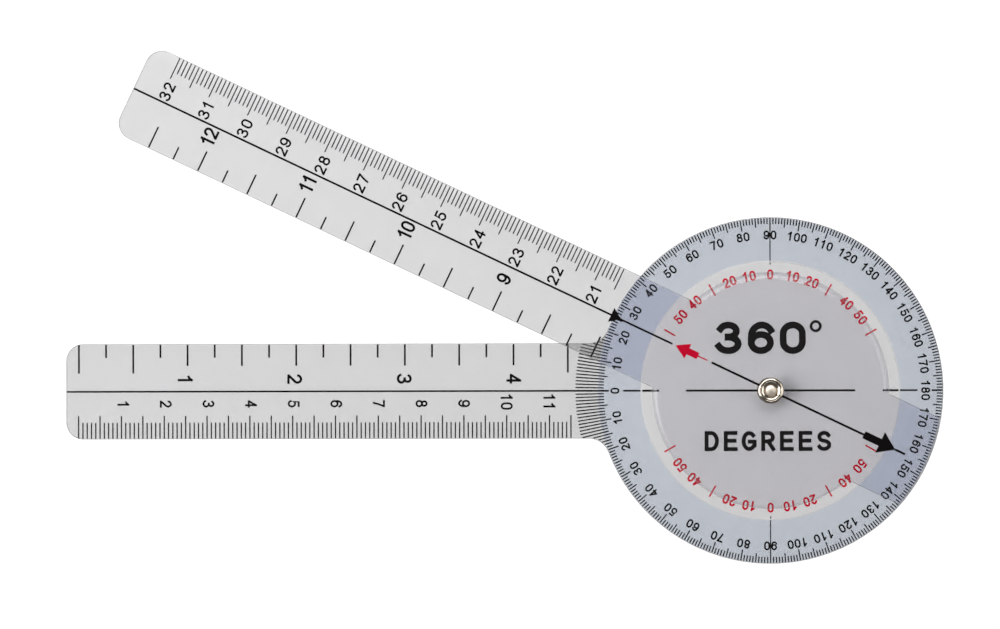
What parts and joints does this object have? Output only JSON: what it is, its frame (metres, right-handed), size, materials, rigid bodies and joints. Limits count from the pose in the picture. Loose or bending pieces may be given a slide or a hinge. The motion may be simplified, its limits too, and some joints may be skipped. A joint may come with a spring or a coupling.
{
  "type": "goniometer",
  "caption": "Flat two-arm goniometer: a ruler arm with a full-circle degree dial, and a second ruler arm with a pointer that turns on a central rivet.",
  "frame": {"origin": "on the pivot axis, in the flat back of the rivet's head, which is the lowest face", "axes": "+Z along the pivot axis, out of the printed faces; the stationary arm points along -X; +Y is the side that the moving arm is stored open to"},
  "size_m": [0.205, 0.12, 0.0048],
  "materials": {
    "frosted_plastic": "frosted clear sheet, satin",
    "nickel": "polished warm nickel plate",
    "band_tint": "thin blue-grey tint printed on the dial's number band",
    "black_ink": "screen-printed ink, slightly glossy",
    "red_ink": "screen-printed ink, slightly glossy"
  },
  "bodies": {
    "stationary": {"stationary_arm": "frosted_plastic", "pivot_rivet": "nickel", "rivet_washer": "nickel"},
    "moving": {"moving_arm": "frosted_plastic"}
  },
  "joints": [
    {"name": "arm_swing", "type": "hinge", "parent": "stationary", "child": "moving", "pos_m": [0, 0, 0], "axis": [0, 0, 1], "continuous": true}
  ]
}
